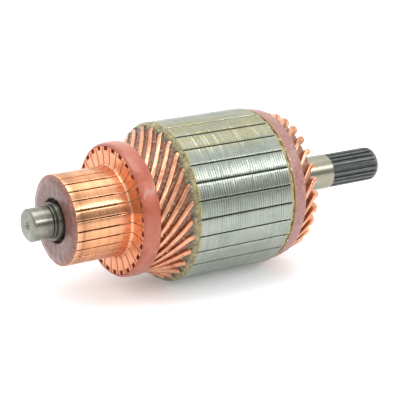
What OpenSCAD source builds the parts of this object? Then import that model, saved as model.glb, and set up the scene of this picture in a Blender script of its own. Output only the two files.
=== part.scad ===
// Armature of a six-pole starter-type motor: wave winding of one-piece
// hairpin bars in a laminated core, moulded commutator with risers, two
// binding bands, and a shaft with a toothed drive end.
// Axis along X. The origin is on the axis at the shoulder of the
// commutator-end journal, +X runs towards the drive end, +Z is up.

/* [Core] */
// Outside diameter of the lamination stack
core_d = 62; // [58:0.5:66]
// Length of the lamination stack
core_l = 41.6; // [36:0.2:48]
// Distance from the journal shoulder to the front face of the stack
core_x = 48.1; // [48.1:0.1:50]
// Angle of the first slot about the shaft
slot_clock = 101.4; // [0:0.1:120]
// Width of the slot mouth at the surface of the core
mouth_w = 0.7; // [0.5:0.1:1.2]
// Thickness of the fibre plate at each end of the stack
plate_t = 0.9; // [0.6:0.1:0.9]

/* [Winding] */
// Thickness of one winding bar
bar_w = 1.66; // [1.3:0.02:1.66]
// Radial height of one winding bar
bar_h = 3.2; // [2.8:0.1:3.2]
// Sweep of an upper bar between its slot and its commutator bar
front_sweep = 46.5; // [44:0.1:48]
// Axial run of the rear end turns beyond the core
rear_run = 16.4; // [15.6:0.1:17.2]

/* [Commutator] */
// Diameter of the brush track
track_d = 34.6; // [33.8:0.1:35]
// Diameter over the risers
riser_d = 49.2; // [49.2:0.1:50]
// Position of the front face of the risers
riser_x = 27.2; // [26.6:0.1:27.4]
// Thickness of the separators between commutator bars
mica_t = 0.6; // [0.4:0.1:0.8]
// Depth of the undercut between bars along the brush track
undercut = 0.7; // [0.3:0.1:1]
// Where the undercut stops
undercut_x = 21.5; // [18:0.5:24]

/* [Shaft] */
// Diameter of the commutator-end journal
journal_d = 12.5; // [11.5:0.1:13]
// Length of the commutator-end journal
journal_l = 7.6; // [6:0.1:12]
// Diameter of the drive-end journal
drive_d = 14.1; // [14:0.1:15]
// Diameter over the teeth, under the journal's so that a bearing slides on
tooth_d = 13.7; // [13:0.1:13.7]
// Position of the first end of the teeth
tooth_x = 128.2; // [120:0.1:132]
// Length of the toothed end
tooth_l = 23.5; // [18:0.5:28]
// Depth of the teeth
tooth_h = 0.75; // [0.4:0.05:1]
// Number of teeth
tooth_n = 20; // [16:1:24]

/* [Hidden] */
$fn = 96;

slots = 28;             // six poles: commutator pitch 9 = (28 - 1) / 3
coil_pitch = 4;         // slots between the two legs of one hairpin
pitch = 360 / slots;
core_r = core_d / 2;
core_x2 = core_x + core_l;
lower_sweep = 9 * pitch - coil_pitch * pitch - front_sweep;
seat_r = 9;             // shaft in the core
bush_r = 7.6;           // shaft in the commutator
sleeve_r = 8.4;         // shaft under the insulating sleeves
wall = 0.3;             // slot paper
gap = 0.4;              // between the upper and the lower layer
win_w = 1.7;            // inside width of a liner
slot_w = win_w + 2 * wall;
leg_r = core_r - 1.3;   // outer face of the upper bars in the slots
slot_top = leg_r + wall;
slot_bot = leg_r - 2 * 3.2 - gap - wall;
track_r = track_d / 2;
riser_r = riser_d / 2;
riser_x2 = riser_x + 3.8;
tip_r = riser_r - 0.1;  // outer face of the upper bars in the risers

// Turns a drawing about Z into one about X: local x, y, z become Y, Z, X.
module on_axis(x = 0) translate([x, 0, 0]) rotate([90, 0, 90]) children();
// A turned body from its half section [[x, r], ...].
module turned(p) rotate([0, 90, 0]) rotate_extrude()
    polygon([for (q = p) [q[1], q[0]]]);
// Puts a copy at every slot pitch, the first at angle a.
module every_pitch(a) for (k = [0 : slots - 1]) rotate([a + k * pitch, 0, 0]) children();

// ---- paths of the winding bars -------------------------------------------
// Share of a sweep done after running u out of length l, eased over a and b.
function sweep(u, l, a, b) = let (s = 1 / (l - a / 2 - b / 2))
    u <= 0 ? 0 : u < a ? s * u * u / (2 * a)
    : u <= l - b ? s * (a / 2 + u - a)
    : u < l ? 1 - s * (l - u) * (l - u) / (2 * b) : 1;
bend_x = core_x - 1.1;            // where the bars leave their axial run
end_x = riser_x2 + 0.1;           // where they run axially again
front_l = bend_x - end_x;
turn_x = core_x2 + 0.8;           // start of the rear sweep
nose_c = 1.7;                     // axial half width of the end turn
nose_x = core_x2 + rear_run - nose_c - bar_h / 2;
rear_l = nose_x - turn_x;
nose_a = 3;                       // angle passed inside one end turn
rear_part = coil_pitch * pitch / 2 - nose_a / 2;
// Outer radius of the upper layer at x, in front of and behind the core.
function front_r(x) = let (u = max(0, min(1, (x - end_x) / (bend_x - 1 - end_x))))
    tip_r + (leg_r - tip_r) * (0.45 * u + 0.55 * pow(u, 4));
function rear_r(x) = let (u = max(0, min(1, (x - turn_x) / (nose_x + 1.2 - turn_x))))
    leg_r - 2.4 * pow(u, 1.6);
front_u = [0, 0.07, 0.16, 0.3, 0.44, 0.58, 0.72, 0.86, 0.94, 1];
rear_u = [0, 0.1, 0.32, 0.55, 0.78, 1];
front_x = [for (u = front_u) bend_x - u * front_l];
rear_x = [for (u = rear_u) turn_x + u * rear_l];
step = bar_h + gap;
// Each station is [x, radius of the middle, angle, tilt of the height].
upper = concat(
    [[riser_x + 1.4, tip_r - bar_h / 2, front_sweep, 0]],
    [for (i = [len(front_x) - 1 : -1 : 0]) [front_x[i], front_r(front_x[i]) - bar_h / 2,
        front_sweep * sweep(bend_x - front_x[i], front_l, 2.4, 1.2), 0]],
    [for (x = rear_x) [x, rear_r(x) - bar_h / 2,
        -rear_part * sweep(x - turn_x, rear_l, 1.5, 0.01), 0]]);
nose = [for (f = [30 : 30 : 150]) [nose_x + nose_c * sin(f),
    rear_r(nose_x) - bar_h / 2 - step / 2 + step / 2 * cos(f),
    -rear_part - nose_a * f / 180, f]];
lower = concat(
    [for (i = [len(rear_x) - 1 : -1 : 0]) [rear_x[i], rear_r(rear_x[i]) - bar_h / 2 - step,
        -coil_pitch * pitch + rear_part * sweep(rear_x[i] - turn_x, rear_l, 1.5, 0.01), 180]],
    [for (x = front_x) [x, front_r(x) - bar_h / 2 - step,
        -coil_pitch * pitch - lower_sweep * sweep(bend_x - x, front_l, 2.4, 1.2), 180]],
    [[riser_x + 1.4, tip_r - bar_h / 2 - step, -coil_pitch * pitch - lower_sweep, 180]]);
hairpin = concat(upper, nose, lower);
function place(s) = [s[0], s[1] * cos(s[2]), s[1] * sin(s[2])];
function unit(v) = v / norm(v);
function ring(st, i) = let (
    n = len(st), p = place(st[i]),
    t = unit(place(st[min(n - 1, i + 1)]) - place(st[max(0, i - 1)])),
    h0 = [sin(st[i][3]), cos(st[i][3]) * cos(st[i][2]), cos(st[i][3]) * sin(st[i][2])],
    flat = st[i][3] == 0 || st[i][3] == 180,
    a = st[max(0, i - 1)], c = st[min(n - 1, i + 1)],
    lean = flat && abs(c[0] - a[0]) > 0.5 ? (c[1] - a[1]) / (c[0] - a[0]) : 0,
    b0 = unit(cross(t, h0)),
    b = unit(b0 + [0, cos(st[i][2]), sin(st[i][2])] * b0[0] * lean),
    h = flat ? h0 : unit(cross(b, t)))
    [for (c = [[1, 1], [1, -1], [-1, -1], [-1, 1]])
        p + h * c[0] * bar_h / 2 + b * c[1] * bar_w / 2];
module bar(st) {
    n = len(st);
    pts = [for (i = [0 : n - 1]) each ring(st, i)];
    polyhedron(points = pts, faces = concat(
        [[2, 1, 0], [3, 2, 0]],
        [for (i = [0 : n - 2], j = [0 : 3]) [4 * i + (j + 1) % 4, 4 * i + 4 + j, 4 * i + j]],
        [for (i = [0 : n - 2], j = [0 : 3]) [4 * i + 4 + (j + 1) % 4, 4 * i + 4 + j, 4 * i + (j + 1) % 4]],
        [[4 * n - 3, 4 * n - 2, 4 * n - 4], [4 * n - 2, 4 * n - 1, 4 * n - 4]]),
        convexity = 8);
}

// ---- shaft ---------------------------------------------------------------
module tooth_section() {
    r1 = tooth_d / 2 - tooth_h;
    r2 = tooth_d / 2 + 0.5;
    circle(r = r1);
    for (k = [0 : tooth_n - 1]) rotate(k * 360 / tooth_n)
        polygon([[r1 - 0.6, -0.78], [r1, -0.72], [r2, -0.26], [r2, 0.26], [r1, 0.72], [r1 - 0.6, 0.78]]);
}
module centre_hole(x, d) translate([x, 0, 0]) rotate([0, d > 0 ? 90 : -90, 0]) {
    translate([0, 0, -1]) cylinder(r = 0.8, h = 5);
    translate([0, 0, -0.01]) cylinder(r1 = 1.6, r2 = 0.8, h = 1.4);
}
module shaft() {
    jr = journal_d / 2;
    dr = drive_d / 2;
    tr = tooth_d / 2;
    tx = tooth_x + tooth_l;
    color("darkgray") difference() {
        union() {
            turned([[-journal_l, 0], [-journal_l, jr - 0.45], [-journal_l + 0.45, jr],
                [0.2, jr], [0.2, jr - 0.3], [0.5, jr - 0.3], [0.5, jr + 0.6], [1.35, jr + 0.6],
                [1.35, jr + 0.3], [1.85, jr + 0.3], [1.85, jr + 1.05], [6.5, jr + 1.05],
                [6.5, bush_r], [riser_x2 - 0.4, bush_r], [riser_x2 - 0.4, sleeve_r],
                [core_x - plate_t, sleeve_r], [core_x - plate_t, seat_r],
                [core_x2 + plate_t, seat_r], [core_x2 + plate_t, sleeve_r],
                [core_x2 + 12, sleeve_r], [core_x2 + 13, dr], [tooth_x, dr], [tooth_x, 0]]);
            intersection() {
                on_axis(tooth_x - 0.5) linear_extrude(height = tooth_l + 0.5) tooth_section();
                turned([[tooth_x - 1, 0], [tooth_x - 1, tr], [tx - 1.2, tr], [tx - 0.35, tr - 0.3],
                    [tx, tr - 0.75], [tx, 0]]);
            }
        }
        centre_hole(-journal_l, 1);
        centre_hole(tx, -1);
    }
}

// ---- core and its insulation ---------------------------------------------
module slot_windows(mouth = false) for (k = [0 : slots - 1]) rotate(slot_clock + k * pitch) {
    translate([slot_bot, -slot_w / 2]) square([slot_top - slot_bot, slot_w]);
    if (mouth) translate([slot_top - 0.1, -mouth_w / 2]) square([3, mouth_w]);
}
module core_laminations() color("slategray") on_axis(core_x)
    linear_extrude(height = core_l) difference() {
        circle(r = core_r, $fn = 192);
        circle(r = seat_r);
        slot_windows(true);
    }
module end_plate(x) on_axis(x) linear_extrude(height = plate_t) difference() {
    circle(r = slot_top + 0.4);
    circle(r = seat_r);
    slot_windows();
}
module front_end_plate() color("darkkhaki") end_plate(core_x - plate_t);
module rear_end_plate() color("darkkhaki") end_plate(core_x2);
module slot_liners() color("olive") on_axis(core_x - 1)
    linear_extrude(height = turn_x - core_x + 1)
        for (k = [0 : slots - 1]) rotate(slot_clock + k * pitch) difference() {
            translate([slot_bot, -slot_w / 2]) square([slot_top - slot_bot, slot_w]);
            translate([slot_bot + wall, -win_w / 2]) square([slot_top - slot_bot - 2 * wall, win_w]);
        }
module slot_separators() color("khaki") on_axis(core_x - 1)
    linear_extrude(height = turn_x - core_x + 1)
        for (k = [0 : slots - 1]) rotate(slot_clock + k * pitch)
            translate([leg_r - bar_h - gap, -win_w / 2]) square([gap, win_w]);
module hairpin_bars() color("peru") every_pitch(slot_clock) bar(hairpin);
module layer_wrap(xs, front) turned(concat(
    [for (x = xs) [x, (front ? front_r(x) : rear_r(x)) - bar_h - 0.12]],
    [for (i = [len(xs) - 1 : -1 : 0]) [xs[i], (front ? front_r(xs[i]) : rear_r(xs[i])) - bar_h - gap + 0.12]]));
module front_layer_wrap() color("tan") layer_wrap([for (i = [len(front_x) - 2 : -1 : 1]) front_x[i]], true);
module rear_layer_wrap() color("tan") layer_wrap([for (i = [1 : len(rear_x) - 2]) rear_x[i]], false);
module front_shaft_sleeve() color("burlywood") difference() {
    translate([riser_x2 + 0.2, 0, 0]) rotate([0, 90, 0]) cylinder(r = sleeve_r + 0.8, h = core_x - plate_t - riser_x2 - 0.2);
    translate([riser_x2, 0, 0]) rotate([0, 90, 0]) cylinder(r = sleeve_r, h = core_x);
}
module rear_shaft_sleeve() color("burlywood") difference() {
    translate([core_x2 + plate_t, 0, 0]) rotate([0, 90, 0]) cylinder(r = sleeve_r + 0.8, h = 10);
    translate([core_x2, 0, 0]) rotate([0, 90, 0]) cylinder(r = sleeve_r, h = 20);
}

// ---- commutator ----------------------------------------------------------
bar_front = 4.1;
bar_section = [[bar_front, track_r - 0.15], [bar_front + 0.15, track_r], [riser_x - 0.6, track_r],
    [riser_x - 0.18, track_r + 0.18], [riser_x, track_r + 0.6],
    [riser_x, riser_r - 0.2], [riser_x + 0.2, riser_r], [riser_x2, riser_r], [riser_x2, 15.2],
    [24, 14.6], [26.4, 11.8], [7.6, 11.8], [10, 14.6], [bar_front, 15.2]];
comm_clock = slot_clock + front_sweep;
module commutator_bars() color("sandybrown") difference() {
    turned(bar_section);
    every_pitch(comm_clock + pitch / 2) translate([0, 5, -mica_t / 2]) cube([40, 25, mica_t]);
    every_pitch(comm_clock) {
        translate([riser_x + 1.2, tip_r - 2 * bar_h - gap - 0.05, -win_w / 2]) cube([5, 12, win_w]);
        translate([riser_x - 1, riser_r - 1.2, -0.95]) cube([3, 3, 1.9]);
    }
}
module mica_separators() color("dimgray")
    every_pitch(comm_clock + pitch / 2) rotate([90, 0, 0]) mirror([0, 0, 0])
        translate([0, 0, -mica_t / 2]) linear_extrude(height = mica_t)
            polygon([[bar_front, track_r - undercut], [undercut_x, track_r - undercut],
                [undercut_x + 0.8, track_r], [riser_x, track_r], [riser_x, riser_r - 0.5],
                [riser_x2, riser_r - 0.5], [riser_x2, 15.2], [24, 14.6], [26.4, 11.8],
                [7.6, 11.8], [10, 14.6], [bar_front, 15.2]]);
module ring_part(x, r1, r2, l) difference() {
    translate([x, 0, 0]) rotate([0, 90, 0]) cylinder(r = r2, h = l);
    translate([x - 1, 0, 0]) rotate([0, 90, 0]) cylinder(r = r1, h = l + 2);
}
module front_reinforcing_ring() color("wheat") ring_part(5, 12.6, 14.6, 3);
module rear_reinforcing_ring() color("wheat") ring_part(26.2, 12.6, 14.6, 3);
module commutator_moulding() color("rosybrown") difference() {
    turned([[3.4, bush_r + 1], [3.4, 14.7], [3.6, 14.95], [bar_front, track_r - 0.15], [5, track_r - 0.15],
        [5, 15.5], [riser_x2 - 0.4, 15.5], [riser_x2 - 0.4, bush_r + 1]]);
    turned(bar_section);
    turned([[5, 12.6], [5, 14.6], [8, 14.6], [8, 12.6]]);
    turned([[26.2, 12.6], [26.2, 14.6], [29.2, 14.6], [29.2, 12.6]]);
}
module commutator_bush() color("gray") ring_part(6.5, bush_r, bush_r + 1, riser_x2 - 0.4 - 6.5);

// ---- binding bands -------------------------------------------------------
module front_binding_band() color("indianred") {
    a = riser_x + 0.2;
    b = riser_x + 7.2;
    turned([[a + 0.05, riser_r], [a, riser_r + 0.45], [a + 0.25, riser_r + 0.85], [a + 0.9, riser_r + 1.15],
        [a + 2.0, riser_r + 1.32], [a + 3.6, riser_r + 1.35], [a + 5.2, riser_r + 1.32],
        [b - 0.5, riser_r + 1.25], [b - 0.1, riser_r + 1.05], [b, front_r(b) + 0.3], [b - 0.1, front_r(b) + 0.07],
        [end_x, riser_r]]);
}
module rear_binding_band() color("rosybrown") {
    a = core_x2 + 1.8;
    b = core_x2 + 7.7;
    turned([[a, rear_r(a) + 0.07], [a, leg_r + 0.6], [a + 0.3, leg_r + 0.8], [a + 1.5, leg_r + 0.72],
        [b - 1.5, leg_r + 0.1], [b - 0.3, leg_r - 0.2], [b, leg_r - 0.45], [b, rear_r(b) + 0.07],
        [b - 2, rear_r(b - 2) + 0.07], [b - 4, rear_r(b - 4) + 0.07]]);
}

shaft();
core_laminations();
front_end_plate();
rear_end_plate();
slot_liners();
slot_separators();
hairpin_bars();
front_layer_wrap();
rear_layer_wrap();
front_shaft_sleeve();
rear_shaft_sleeve();
commutator_bars();
mica_separators();
commutator_moulding();
commutator_bush();
front_reinforcing_ring();
rear_reinforcing_ring();
front_binding_band();
rear_binding_band();
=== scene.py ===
# Motor armature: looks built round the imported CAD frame. Metres, axis along X.
import math

import bpy
import numpy as np
from mathutils import Matrix, Vector


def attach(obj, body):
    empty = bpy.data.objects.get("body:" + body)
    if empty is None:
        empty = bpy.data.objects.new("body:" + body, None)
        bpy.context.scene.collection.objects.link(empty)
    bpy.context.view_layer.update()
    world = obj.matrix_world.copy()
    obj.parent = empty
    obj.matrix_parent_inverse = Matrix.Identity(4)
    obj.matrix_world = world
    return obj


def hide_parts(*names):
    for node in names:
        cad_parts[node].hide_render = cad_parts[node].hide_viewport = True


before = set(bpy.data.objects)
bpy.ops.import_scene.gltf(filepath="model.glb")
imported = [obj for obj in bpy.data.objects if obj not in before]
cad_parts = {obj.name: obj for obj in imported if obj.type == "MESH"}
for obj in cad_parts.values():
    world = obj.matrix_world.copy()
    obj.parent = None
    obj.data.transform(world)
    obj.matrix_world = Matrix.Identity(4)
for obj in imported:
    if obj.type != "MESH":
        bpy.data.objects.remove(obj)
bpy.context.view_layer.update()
MM = 0.001
PI = math.pi
rng = np.random.default_rng(7)

# ------------------------------------------------------------------ sizes (mm)
N = 28
PITCH = 360.0 / N
CLOCK = 101.4                       # first slot
SWEEP = 46.5                        # upper bar: slot to commutator bar
LOWER = 9 * PITCH - 4 * PITCH - SWEEP
CX, CX2, CR = 48.1, 89.7, 31.0      # core
BW, BH, GAP = 1.66, 3.2, 0.4        # winding bar
LEG = 29.7                          # outer face of the upper bars in the slots
TRACK, RISER, RX, RX2 = 17.3, 24.6, 27.2, 31.0
TIP = RISER - 0.1
BEND, END = CX - 1.1, RX2 + 0.1
TURN, NOSEX, NOSEC, NOSEA = CX2 + 0.8, 102.8, 1.7, 3.0
COMM = CLOCK + SWEEP                # centre of the first commutator bar


def sweep(u, l, a, b):
    s = 1 / (l - a / 2 - b / 2)
    if u <= 0:
        return 0.0
    if u < a:
        return s * u * u / (2 * a)
    if u <= l - b:
        return s * (a / 2 + u - a)
    if u < l:
        return 1 - s * (l - u) ** 2 / (2 * b)
    return 1.0


def front_r(x):
    u = min(1.0, max(0.0, (x - END) / (BEND - 1 - END)))
    return TIP + (LEG - TIP) * (0.45 * u + 0.55 * u ** 4)


def rear_r(x):
    u = min(1.0, max(0.0, (x - TURN) / (NOSEX + 1.2 - TURN)))
    return LEG - 2.4 * u ** 1.6


# ------------------------------------------------------------------ mesh tools
def waves(seed, k, fx, ft):
    """A smooth wobble over x (mm) and angle (degrees), the same every run."""
    g = np.random.default_rng(seed)
    ax = g.uniform(0.4, 1.6, k) * fx
    at = np.maximum(1, np.round(g.uniform(0.4, 1.6, k) * ft))
    ph = g.uniform(0, 2 * PI, (k, 2))
    am = g.uniform(0.4, 1.0, k)
    am = am / np.sqrt((am ** 2).sum() / 2)

    def f(x, t):
        x, t = np.asarray(x, float), np.radians(np.asarray(t, float))
        s = 0
        for i in range(k):
            s = s + am[i] * np.cos(ax[i] * x + ph[i, 0]) * np.cos(at[i] * t + ph[i, 1])
        return s
    return f


def new_mesh(name, verts, faces, mats, mat_index=None, sharp=38):
    me = bpy.data.meshes.new(name)
    me.from_pydata([tuple(v) for v in (np.asarray(verts) * MM)], [], faces)
    me.validate()
    for m in mats:
        me.materials.append(m)
    if mat_index is not None:
        me.polygons.foreach_set("material_index", np.asarray(mat_index, dtype=np.int32))
    me.shade_smooth()
    me.set_sharp_from_angle(angle=math.radians(sharp))
    me.update()
    ob = bpy.data.objects.new(name, me)
    bpy.context.scene.collection.objects.link(ob)
    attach(ob, "root")
    return ob


def grid_faces(m, n, wrap_m=False, wrap_n=True, off=0):
    """Quads of an m by n grid of points, wrapped along n and perhaps along m."""
    out = []
    for i in range(m if wrap_m else m - 1):
        i2 = (i + 1) % m
        for j in range(n if wrap_n else n - 1):
            j2 = (j + 1) % n
            out.append((off + i * n + j, off + i * n + j2, off + i2 * n + j2, off + i2 * n + j))
    return out


def polar(x, r, t):
    t = np.radians(t)
    return np.stack([x + 0 * t, r * np.cos(t), r * np.sin(t)], -1)


def ring_body(name, prof, n, mats, wob=None, closed=True, sharp=38, mi=None):
    """A turned body from a closed (x, r) profile, with an optional radial wobble(x, t, i)."""
    th = np.arange(n) * 360.0 / n
    V = []
    for i, (x, r) in enumerate(prof):
        dx = dr = 0
        if wob is not None:
            dx, dr = wob(i, x, r, th)
        V.append(polar(x + dx + 0 * th, r + dr, th))
    V = np.concatenate(V)
    F = grid_faces(len(prof), n, wrap_m=closed)
    idx = None
    if mi is not None:
        idx = [mi(k // n) for k in range(len(F))]
    return new_mesh(name, V, F, mats, idx, sharp)


def rounded(w, h, r, k=3):
    """Rounded rectangle section, points (across, up)."""
    out = []
    for cx, cy, a0 in ((w / 2 - r, h / 2 - r, 0), (-w / 2 + r, h / 2 - r, 90),
                       (-w / 2 + r, -h / 2 + r, 180), (w / 2 - r, -h / 2 + r, 270)):
        for j in range(k):
            a = math.radians(a0 + 90.0 * j / (k - 1))
            out.append((cx + r * math.cos(a), cy + r * math.sin(a)))
    return np.array(out)


def sweep_path(st, sec, closed_ends=True):
    """st: rows x, r, angle (deg), tilt (deg), scale_w, scale_h. Returns verts and faces of a swept section."""
    st = np.asarray(st, float)
    n = len(st)
    t = np.radians(st[:, 2])
    P = np.stack([st[:, 0], st[:, 1] * np.cos(t), st[:, 1] * np.sin(t)], -1)
    T = np.empty_like(P)
    T[1:-1] = P[2:] - P[:-2]
    T[0], T[-1] = P[1] - P[0], P[-1] - P[-2]
    T /= np.linalg.norm(T, axis=1)[:, None]
    rad = np.stack([0 * t, np.cos(t), np.sin(t)], -1)
    f = np.radians(st[:, 3])
    H = np.cos(f)[:, None] * rad + np.sin(f)[:, None] * np.array([1.0, 0, 0])
    B = np.cross(T, H)
    B /= np.linalg.norm(B, axis=1)[:, None]
    flat = (st[:, 3] % 180) == 0
    dx = np.empty(n)
    dr = np.empty(n)
    dx[1:-1], dr[1:-1] = st[2:, 0] - st[:-2, 0], st[2:, 1] - st[:-2, 1]
    dx[0], dx[-1], dr[0], dr[-1] = 0, 0, 0, 0
    lean = np.where(flat & (np.abs(dx) > 0.1), dr / np.where(np.abs(dx) > 0.1, dx, 1), 0)
    B = B + rad * (B[:, 0] * lean)[:, None]
    B /= np.linalg.norm(B, axis=1)[:, None]
    H2 = np.cross(B, T)
    H2 /= np.linalg.norm(H2, axis=1)[:, None]
    H = np.where(flat[:, None], H, H2)
    k = len(sec)
    V = (P[:, None] + B[:, None] * (sec[None, :, 0:1] * st[:, 4][:, None, None])
         + H[:, None] * (sec[None, :, 1:2] * st[:, 5][:, None, None])).reshape(-1, 3)
    F = grid_faces(n, k)
    if closed_ends:
        F.append(tuple(range(k - 1, -1, -1)))
        F.append(tuple((n - 1) * k + j for j in range(k)))
    return V, F


# ------------------------------------------------------------------ materials
ANISO_ROT = 0.25


class Mat:
    """A small wrapper that makes the node chains below short."""

    def __init__(self, name):
        self.m = bpy.data.materials.new(name)
        self.m.use_nodes = True
        self.nt = self.m.node_tree
        self.p = self.nt.nodes["Principled BSDF"]
        tc = self.nt.nodes.new("ShaderNodeTexCoord")
        mp = self.nt.nodes.new("ShaderNodeVectorMath")
        mp.operation = "SCALE"
        mp.inputs["Scale"].default_value = 1000.0
        self.link(tc.outputs["Object"], mp.inputs[0])
        self.co = mp.outputs[0]                       # object coordinates in mm
        sp = self.nt.nodes.new("ShaderNodeSeparateXYZ")
        self.link(self.co, sp.inputs[0])
        self.x, self.y, self.z = sp.outputs

    def link(self, a, b):
        self.nt.links.new(a, b)

    def math(self, op, a, b=0.0, c=0.0, clamp=False):
        n = self.nt.nodes.new("ShaderNodeMath")
        n.operation = op
        n.use_clamp = clamp
        for i, v in enumerate((a, b, c)):
            if i < len(n.inputs):
                if isinstance(v, (int, float)):
                    n.inputs[i].default_value = v
                else:
                    self.link(v, n.inputs[i])
        return n.outputs[0]

    def scaled(self, s):
        n = self.nt.nodes.new("ShaderNodeVectorMath")
        n.operation = "MULTIPLY"
        self.link(self.co, n.inputs[0])
        n.inputs[1].default_value = s
        return n.outputs[0]

    def combine(self, x, y, z):
        n = self.nt.nodes.new("ShaderNodeCombineXYZ")
        for i, v in enumerate((x, y, z)):
            if isinstance(v, (int, float)):
                n.inputs[i].default_value = v
            else:
                self.link(v, n.inputs[i])
        return n.outputs[0]

    def noise(self, s=(1, 1, 1), scale=1.0, detail=4.0, rough=0.55, dist=0.0, vec=None, lac=2.0):
        n = self.nt.nodes.new("ShaderNodeTexNoise")
        n.inputs["Scale"].default_value = scale
        n.inputs["Detail"].default_value = detail
        n.inputs["Roughness"].default_value = rough
        n.inputs["Distortion"].default_value = dist
        n.inputs["Lacunarity"].default_value = lac
        self.link(vec if vec is not None else self.scaled(s), n.inputs["Vector"])
        return n.outputs["Fac"]

    def voronoi(self, s=(1, 1, 1), scale=1.0, out="Distance", vec=None):
        n = self.nt.nodes.new("ShaderNodeTexVoronoi")
        n.inputs["Scale"].default_value = scale
        self.link(vec if vec is not None else self.scaled(s), n.inputs["Vector"])
        return n.outputs[out]

    def ramp(self, f, stops, interp="LINEAR"):
        n = self.nt.nodes.new("ShaderNodeValToRGB")
        n.color_ramp.interpolation = interp
        e = n.color_ramp.elements
        while len(e) < len(stops):
            e.new(0.5)
        for i, (p, c) in enumerate(stops):
            e[i].position = p
            e[i].color = (c, c, c, 1) if isinstance(c, (int, float)) else (*c, 1)
        self.link(f, n.inputs[0])
        return n.outputs[0]

    def mix(self, f, a, b, mode="MIX"):
        n = self.nt.nodes.new("ShaderNodeMix")
        n.data_type = "RGBA"
        n.blend_type = mode
        n.clamp_factor = True
        for sock, v in ((n.inputs[0], f), (n.inputs[6], a), (n.inputs[7], b)):
            if isinstance(v, (int, float)):
                sock.default_value = v
            elif isinstance(v, tuple):
                sock.default_value = (*v, 1)
            else:
                self.link(v, sock)
        return n.outputs[2]

    def angle(self):
        """Angle about the shaft, 0 to 1 for -180 to 180 degrees."""
        a = self.math("ARCTAN2", self.z, self.y)
        return self.math("MULTIPLY_ADD", a, 1 / (2 * PI), 0.5)

    def radius(self):
        return self.math("SQRT", self.math("ADD", self.math("MULTIPLY", self.y, self.y), self.math("MULTIPLY", self.z, self.z)))

    def band(self, v, a, b, soft):
        """1 where v is between a and b, easing over soft."""
        up = self.math("MULTIPLY_ADD", v, 1 / soft, -a / soft + 0.5, clamp=True)
        dn = self.math("MULTIPLY_ADD", v, -1 / soft, b / soft + 0.5, clamp=True)
        return self.math("MULTIPLY", up, dn)

    def bump(self, h, strength=0.3, dist=0.05, normal=None):
        n = self.nt.nodes.new("ShaderNodeBump")
        n.inputs["Strength"].default_value = strength
        n.inputs["Distance"].default_value = dist * MM
        self.link(h, n.inputs["Height"])
        if normal is not None:
            self.link(normal, n.inputs["Normal"])
        return n.outputs[0]

    def turned(self, amount):
        """Highlights drawn out across the turning marks, which run round the shaft."""
        t = self.nt.nodes.new("ShaderNodeTangent")
        t.direction_type = "RADIAL"
        t.axis = "X"
        self.link(t.outputs[0], self.p.inputs["Tangent"])
        self.p.inputs["Anisotropic"].default_value = amount
        self.p.inputs["Anisotropic Rotation"].default_value = ANISO_ROT

    def set(self, **k):
        for key, v in k.items():
            s = self.p.inputs[key.replace("_", " ")]
            if isinstance(v, (int, float)):
                s.default_value = v
            elif isinstance(v, tuple):
                s.default_value = (*v, 1) if len(v) == 3 else v
            else:
                self.link(v, s)
        return self


def m_shaft():
    s = Mat("turned_steel")
    rings = s.noise((5.0, 0.05, 0.05), 1.0, 5, 0.7)
    rings2 = s.noise((1.4, 0.02, 0.02), 1.0, 3, 0.6)
    blot = s.noise((0.25, 0.3, 0.3), 1.0, 4, 0.6)
    fine = s.noise((2.0, 2.0, 2.0), 1.0, 5, 0.7)
    c = s.ramp(blot, [(0.3, (0.25, 0.25, 0.21)), (0.55, (0.33, 0.33, 0.28)), (0.75, (0.41, 0.41, 0.36))])
    c = s.mix(s.ramp(rings, [(0.38, 0.0), (0.62, 0.6)]), c, (0.14, 0.145, 0.125))
    dark = s.math("MULTIPLY", s.band(s.x, 0.1, 7.0, 0.6), 0.62)
    c = s.mix(dark, c, (0.10, 0.105, 0.085))
    tan = s.math("MULTIPLY", s.band(s.x, 104.0, 127.9, 0.8), 0.55)
    c = s.mix(tan, c, (0.40, 0.37, 0.27))
    r = s.ramp(rings2, [(0.3, 0.22), (0.7, 0.36)])
    r = s.mix(s.ramp(fine, [(0.4, 0.0), (0.8, 0.5)]), r, (0.42, 0.42, 0.42))
    b = s.bump(rings, 0.5, 0.03)
    b = s.bump(fine, 0.15, 0.02, b)
    s.turned(0.7)
    return s.set(Base_Color=c, Metallic=1.0, Roughness=r, Normal=b).m


def m_teeth():
    s = Mat("dark_tooth_steel")
    blot = s.noise((0.4, 0.5, 0.5), 1.0, 5, 0.65)
    fine = s.noise((1.5, 3.0, 3.0), 1.0, 5, 0.7)
    rad = s.radius()
    c = s.ramp(blot, [(0.3, (0.060, 0.066, 0.062)), (0.7, (0.115, 0.122, 0.115))])
    tip = s.math("MULTIPLY", s.band(rad, 6.76, 7.2, 0.12), s.ramp(fine, [(0.35, 0.1), (0.65, 0.5)]))
    c = s.mix(tip, c, (0.20, 0.21, 0.20))
    c = s.mix(s.math("MULTIPLY", s.band(s.x, 150.2, 152.5, 0.8), 0.55), c, (0.30, 0.29, 0.25))
    r = s.ramp(fine, [(0.3, 0.30), (0.7, 0.50)])
    b = s.bump(fine, 0.25, 0.04)
    return s.set(Base_Color=c, Metallic=0.9, Roughness=r, Normal=b).m


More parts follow.
